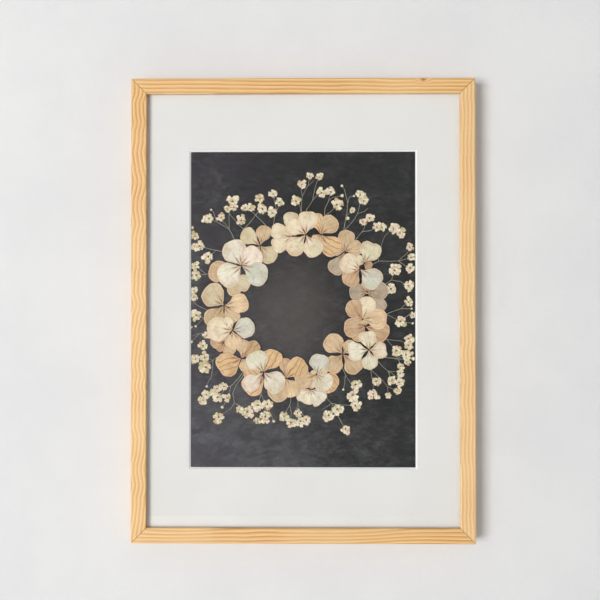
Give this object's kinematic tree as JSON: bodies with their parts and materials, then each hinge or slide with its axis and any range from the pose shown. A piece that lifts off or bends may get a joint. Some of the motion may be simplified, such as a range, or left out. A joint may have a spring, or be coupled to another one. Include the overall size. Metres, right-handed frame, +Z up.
{
  "type": "pressed flower frame",
  "caption": "Slim pine picture frame with a pressed wreath of hydrangea florets and gypsophila sprigs on black card behind an off-white window mat and glass.",
  "frame": {"origin": "the point on the wall plane behind the middle notch of the hanger, where the nail goes in", "axes": "+Z up, the front looks towards -Y, the wall is the plane y = 0, +X to the right as seen from the front"},
  "size_m": [0.311, 0.022, 0.42],
  "materials": {
    "pine": "clear matt lacquer",
    "clear_glass": "polished",
    "mount_board": "off-white paper face, white core",
    "black_card": "matt, a little chalky",
    "hardboard": "plain",
    "zinc_plated_steel": "zinc plated",
    "dried_gypsophila": "dried flower, matt",
    "sepal_white": "dried sepal, matt",
    "sepal_cream": "dried sepal, matt",
    "sepal_olive": "dried sepal, matt",
    "sepal_tan": "dried sepal, matt",
    "sepal_peach": "dried sepal, matt",
    "sepal_grey": "dried sepal, matt"
  },
  "bodies": {
    "root": {"top_rail": "pine", "bottom_rail": "pine", "left_stile": "pine", "right_stile": "pine", "glass": "clear_glass", "window_mat": "mount_board", "mount_card": "black_card", "backing_board": "hardboard", "retaining_point_1": "zinc_plated_steel", "retaining_point_2": "zinc_plated_steel", "retaining_point_3": "zinc_plated_steel", "retaining_point_4": "zinc_plated_steel", "retaining_point_5": "zinc_plated_steel", "retaining_point_6": "zinc_plated_steel", "sawtooth_hanger": "zinc_plated_steel", "hanger_rivet_left": "zinc_plated_steel", "hanger_rivet_right": "zinc_plated_steel", "hydrangea_floret_a": "sepal_olive", "hydrangea_floret_b": "sepal_white", "hydrangea_floret_c": "sepal_tan", "hydrangea_floret_d": "sepal_olive", "hydrangea_floret_e": "sepal_cream", "hydrangea_floret_f": "sepal_tan", "hydrangea_floret_g": "sepal_peach", "hydrangea_floret_h": "sepal_cream", "hydrangea_floret_i": "sepal_peach", "hydrangea_floret_j": "sepal_peach", "hydrangea_floret_k": "sepal_cream", "hydrangea_floret_l": "sepal_peach", "hydrangea_floret_m": "sepal_white", "hydrangea_floret_n": "sepal_tan", "hydrangea_floret_o": "sepal_white", "hydrangea_floret_p": "sepal_peach", "hydrangea_floret_q": "sepal_peach", "hydrangea_floret_r": "sepal_grey", "hydrangea_floret_s": "sepal_cream", "hydrangea_floret_t": "sepal_cream", "hydrangea_floret_u": "sepal_tan", "hydrangea_floret_v": "sepal_peach", "hydrangea_floret_w": "sepal_cream", "hydrangea_floret_x": "sepal_cream", "gypsophila_sprig_01": "dried_gypsophila", "gypsophila_sprig_02": "dried_gypsophila", "gypsophila_sprig_03": "dried_gypsophila", "gypsophila_sprig_04": "dried_gypsophila", "gypsophila_sprig_05": "dried_gypsophila", "gypsophila_sprig_06": "dried_gypsophila", "gypsophila_sprig_07": "dried_gypsophila", "gypsophila_sprig_08": "dried_gypsophila", "gypsophila_sprig_09": "dried_gypsophila", "gypsophila_sprig_10": "dried_gypsophila", "gypsophila_sprig_11": "dried_gypsophila", "gypsophila_sprig_12": "dried_gypsophila", "gypsophila_sprig_13": "dried_gypsophila", "gypsophila_sprig_14": "dried_gypsophila", "gypsophila_sprig_15": "dried_gypsophila", "gypsophila_sprig_16": "dried_gypsophila", "gypsophila_sprig_17": "dried_gypsophila", "gypsophila_sprig_18": "dried_gypsophila"}
  },
  "joints": []
}
